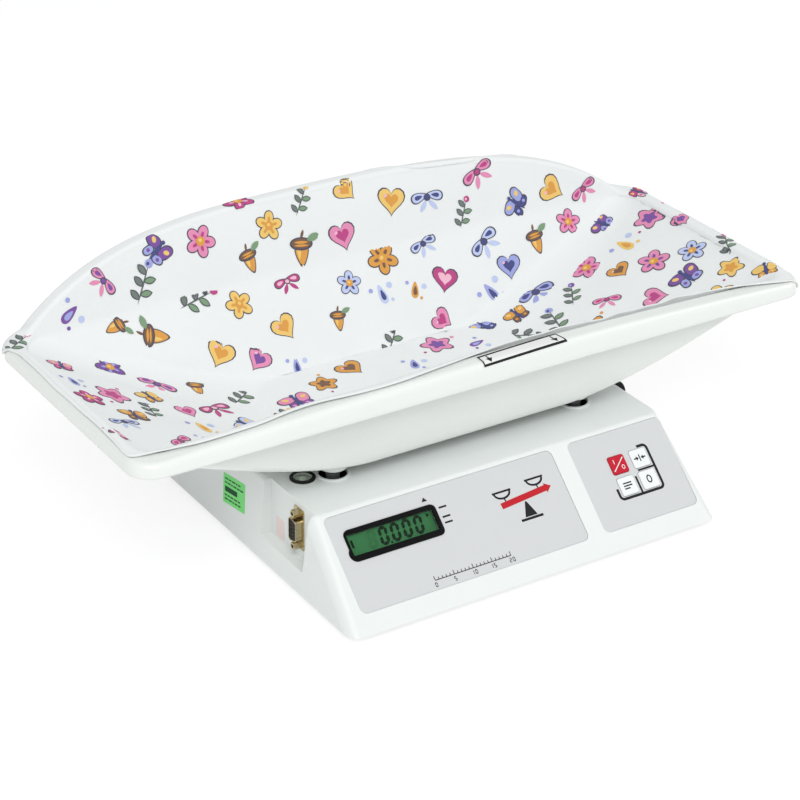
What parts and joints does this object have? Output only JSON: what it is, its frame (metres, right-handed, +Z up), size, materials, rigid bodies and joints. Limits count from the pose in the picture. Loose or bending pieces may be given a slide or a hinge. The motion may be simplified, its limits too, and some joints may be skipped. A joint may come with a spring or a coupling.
{
  "type": "digital baby weighing scale",
  "caption": "Baby scale: a wedge-fronted base with a display and sprung keys carries a wide curved lift-off tray with a soft liner on a load cell.",
  "frame": {"origin": "bottom centre of the whole scale: middle of its width and depth, on the table under the foot pads", "axes": "+X to the right seen by the operator at the keys, +Y to the back, +Z up"},
  "size_m": [0.54, 0.3061, 0.1804],
  "materials": {
    "housing_white": "fine satin moulded ABS",
    "pan_grey": "moulded ABS",
    "overlay_grey": "satin polycarbonate film",
    "bezel_black": "gloss black",
    "lens_clear": "clear acrylic",
    "lcd_green": "green liquid crystal panel",
    "board_green": "solder mask",
    "chip_black": "moulded epoxy",
    "key_white": "satin",
    "key_red": "gloss",
    "plunger_black": "moulded",
    "screw_steel": "zinc plated",
    "cell_aluminium": "machined",
    "spider_black": "black powder coat",
    "post_grey": "turned",
    "cap_rubber": "soft rubber",
    "tray_white": "smooth moulded ABS",
    "liner_fabric": "printed cotton",
    "label_white": "paper label",
    "label_green": "paper label",
    "label_pink": "paper label",
    "plated_steel": "yellow passivated",
    "contact_brass": "gold flash",
    "insulator_black": "moulded",
    "inlet_black": "moulded",
    "level_black": "gloss",
    "level_clear": "clear acrylic",
    "level_fluid": "bubble",
    "pad_rubber": "soft rubber"
  },
  "bodies": {
    "base": {"upper_housing": "housing_white", "base_pan": "pan_grey", "pan_screws": "screw_steel", "display_overlay": "overlay_grey", "keypad_overlay": "overlay_grey", "lcd_bezel": "bezel_black", "lcd_lens": "lens_clear", "lcd_panel": "lcd_green", "display_board": "board_green", "keypad_board": "board_green", "board_screws": "screw_steel", "key_switches": "chip_black", "load_cell": "cell_aluminium", "cell_foot_spacer": "screw_steel", "cell_foot_screws": "screw_steel", "overload_stops": "screw_steel", "serial_shell": "plated_steel", "serial_insulator": "insulator_black", "serial_contacts": "contact_brass", "serial_jackscrews": "plated_steel", "serial_label": "label_pink", "side_label": "label_green", "power_inlet": "inlet_black", "inlet_pin": "contact_brass", "level_ring": "level_black", "level_vial": "level_clear", "level_bubble": "level_fluid", "main_board": "board_green", "main_board_chips": "chip_black"},
    "power_key": {"key_power": "key_red", "plunger_power": "plunger_black"},
    "tare_key": {"key_tare": "key_white", "plunger_tare": "plunger_black"},
    "print_key": {"key_print": "key_white", "plunger_print": "plunger_black"},
    "zero_key": {"key_zero": "key_white", "plunger_zero": "plunger_black"},
    "platform": {"platform_spider": "spider_black", "cell_head_spacer": "screw_steel", "cell_head_screws": "screw_steel", "support_posts": "post_grey", "post_caps": "cap_rubber"},
    "tray": {"tray_shell": "tray_white", "tray_liner": "liner_fabric", "rim_label": "label_white"},
    "front_left_pad": {"foot_pad_front_left": "pad_rubber"},
    "front_left_stud": {"foot_stud_front_left": "inlet_black"},
    "front_right_pad": {"foot_pad_front_right": "pad_rubber"},
    "front_right_stud": {"foot_stud_front_right": "inlet_black"},
    "back_left_pad": {"foot_pad_back_left": "pad_rubber"},
    "back_left_stud": {"foot_stud_back_left": "inlet_black"},
    "back_right_pad": {"foot_pad_back_right": "pad_rubber"},
    "back_right_stud": {"foot_stud_back_right": "inlet_black"}
  },
  "joints": [
    {"name": "press_power", "type": "slide", "parent": "base", "child": "power_key", "axis": [0, 0.6698, -0.7425], "range_m": [0, 0.0007], "stiffness_N_per_m": 2000, "springref_m": -0.0003},
    {"name": "press_tare", "type": "slide", "parent": "base", "child": "tare_key", "axis": [0, 0.6698, -0.7425], "range_m": [0, 0.0007], "stiffness_N_per_m": 2000, "springref_m": -0.0003},
    {"name": "press_print", "type": "slide", "parent": "base", "child": "print_key", "axis": [0, 0.6698, -0.7425], "range_m": [0, 0.0007], "stiffness_N_per_m": 2000, "springref_m": -0.0003},
    {"name": "press_zero", "type": "slide", "parent": "base", "child": "zero_key", "axis": [0, 0.6698, -0.7425], "range_m": [0, 0.0007], "stiffness_N_per_m": 2000, "springref_m": -0.0003},
    {"name": "platform_sink", "type": "slide", "parent": "base", "child": "platform", "axis": [0, 0, -1], "range_m": [0, 0.0008], "stiffness_N_per_m": 300000, "springref_m": -0.00008, "deforming": ["load_cell"]},
    {"name": "tray_lift", "type": "slide", "parent": "platform", "child": "tray", "axis": [0, 0, 1], "range_m": [0, 0.06]},
    {"name": "extend_front_left", "type": "slide", "parent": "base", "child": "front_left_pad", "axis": [0, 0, -1], "range_m": [0, 0.005]},
    {"name": "turn_front_left", "type": "hinge", "parent": "front_left_pad", "child": "front_left_stud", "pos_m": [-0.1115, -0.1184, 0.005], "axis": [0, 0, 1], "range_deg": [0, 1800]},
    {"name": "extend_front_right", "type": "slide", "parent": "base", "child": "front_right_pad", "axis": [0, 0, -1], "range_m": [0, 0.005]},
    {"name": "turn_front_right", "type": "hinge", "parent": "front_right_pad", "child": "front_right_stud", "pos_m": [0.1115, -0.1184, 0.005], "axis": [0, 0, 1], "range_deg": [0, 1800]},
    {"name": "extend_back_left", "type": "slide", "parent": "base", "child": "back_left_pad", "axis": [0, 0, -1], "range_m": [0, 0.005]},
    {"name": "turn_back_left", "type": "hinge", "parent": "back_left_pad", "child": "back_left_stud", "pos_m": [-0.1115, 0.09559, 0.005], "axis": [0, 0, 1], "range_deg": [0, 1800]},
    {"name": "extend_back_right", "type": "slide", "parent": "base", "child": "back_right_pad", "axis": [0, 0, -1], "range_m": [0, 0.005]},
    {"name": "turn_back_right", "type": "hinge", "parent": "back_right_pad", "child": "back_right_stud", "pos_m": [0.1115, 0.09559, 0.005], "axis": [0, 0, 1], "range_deg": [0, 1800]}
  ],
  "couplings": [
    {"joint": "turn_front_left", "follows": "extend_front_left", "rad_per_m": 6283.2},
    {"joint": "turn_front_right", "follows": "extend_front_right", "rad_per_m": 6283.2},
    {"joint": "turn_back_left", "follows": "extend_back_left", "rad_per_m": 6283.2},
    {"joint": "turn_back_right", "follows": "extend_back_right", "rad_per_m": 6283.2}
  ]
}
